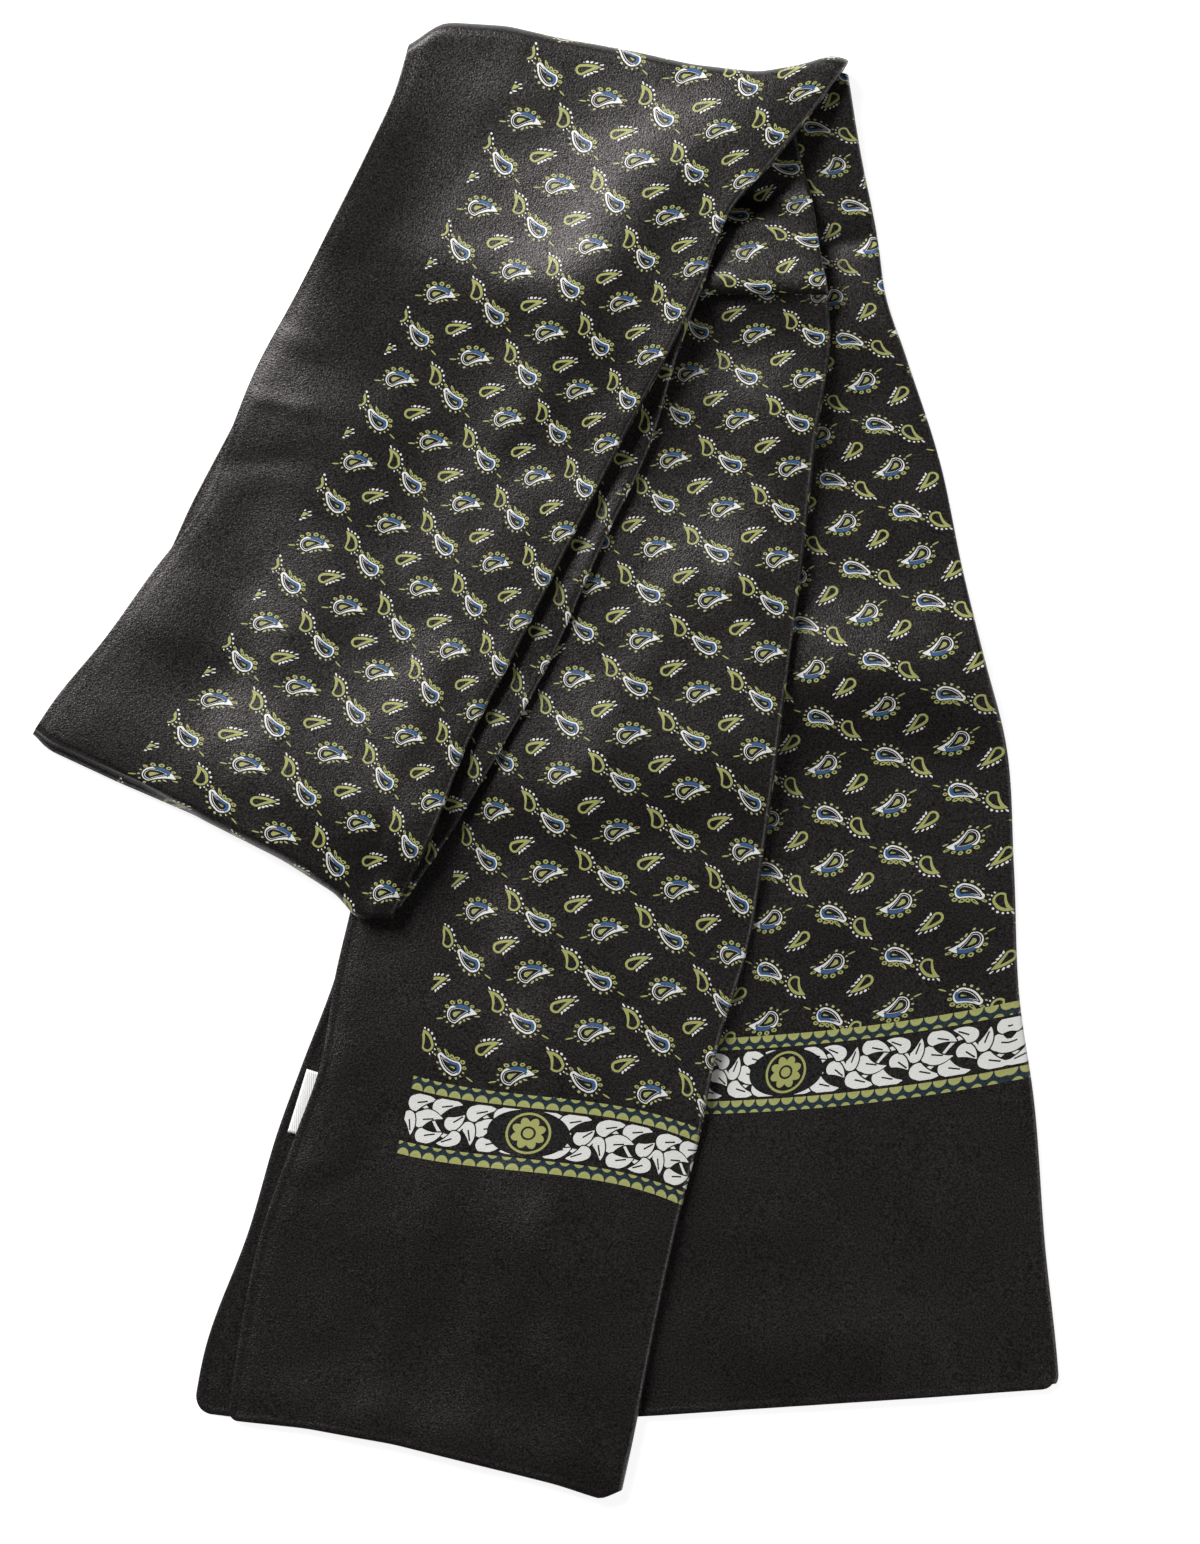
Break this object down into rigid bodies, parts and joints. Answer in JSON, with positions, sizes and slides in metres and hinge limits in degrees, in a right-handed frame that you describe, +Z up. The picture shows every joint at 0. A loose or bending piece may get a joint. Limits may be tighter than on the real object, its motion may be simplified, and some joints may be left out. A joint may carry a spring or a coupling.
{
  "type": "folded neck scarf",
  "caption": "Oblong black satin neck scarf with a small paisley print and printed end bands, folded lengthwise and laid flat in two crossing lengths.",
  "frame": {"origin": "centre of the laid scarf's box, on the surface that it lies on", "axes": "+X to the right of the laid scarf, +Y towards its upper bend, +Z up from the surface"},
  "size_m": [0.36, 0.5162, 0.0155],
  "materials": {
    "satin": "black satin with a fine sheen, olive, white and blue paisley print and printed end bands",
    "label_tape": "plain white woven tape, blank"
  },
  "bodies": {
    "root": {"back_end": "satin", "back_end_under_ply": "satin", "front_end": "satin", "front_end_under_ply": "satin", "front_tuck": "satin", "flap": "satin", "flap_under_ply": "satin", "flap_return": "satin", "blank_label": "label_tape"}
  },
  "joints": []
}
